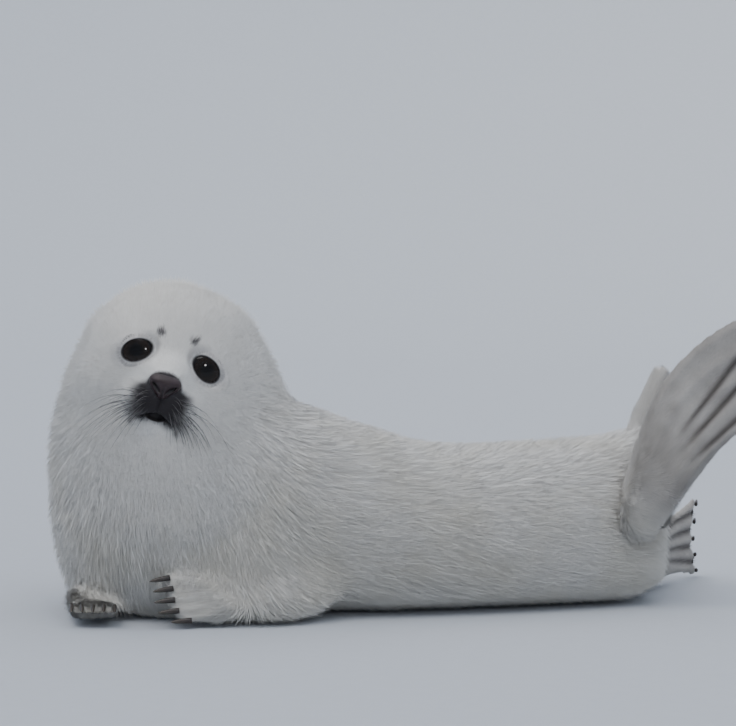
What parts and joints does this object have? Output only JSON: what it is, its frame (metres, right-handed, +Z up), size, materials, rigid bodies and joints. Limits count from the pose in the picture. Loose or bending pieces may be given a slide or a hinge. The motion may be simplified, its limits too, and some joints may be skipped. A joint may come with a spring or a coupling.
{
  "type": "harp seal pup",
  "caption": "White-coated seal pup at life size, lying on its belly with its head raised and turned to the side, one hind flipper lifted; a still, museum-type model.",
  "frame": {"origin": "the middle of the pup's footprint box, on the floor", "axes": "+X along the trunk from the chest to the hind flippers, the head faces -Y, +Z up"},
  "size_m": [0.8126, 0.3718, 0.3484],
  "materials": {
    "coat": "soft white woolly fur",
    "hind_flipper": "short grey-beige fur",
    "eye": "wet, near black",
    "nose": "damp bare skin",
    "claw": "dark horn"
  },
  "bodies": {
    "root": {"chest": "coat", "neck": "coat", "head": "coat", "trunk": "coat", "rump": "coat", "tail": "coat", "eye_left": "eye", "eye_right": "eye", "nose": "nose", "hind_flipper_left": "hind_flipper", "hind_flipper_right": "hind_flipper", "fore_flipper_left": "coat", "fore_flipper_right": "coat", "claw_hind_left_1": "claw", "claw_hind_left_2": "claw", "claw_hind_left_3": "claw", "claw_hind_left_4": "claw", "claw_hind_left_5": "claw", "claw_hind_right_1": "claw", "claw_hind_right_2": "claw", "claw_hind_right_3": "claw", "claw_hind_right_4": "claw", "claw_hind_right_5": "claw", "claw_fore_left_1": "claw", "claw_fore_left_2": "claw", "claw_fore_left_3": "claw", "claw_fore_left_4": "claw", "claw_fore_left_5": "claw", "claw_fore_right_1": "claw", "claw_fore_right_2": "claw", "claw_fore_right_3": "claw", "claw_fore_right_4": "claw", "claw_fore_right_5": "claw"}
  },
  "joints": []
}
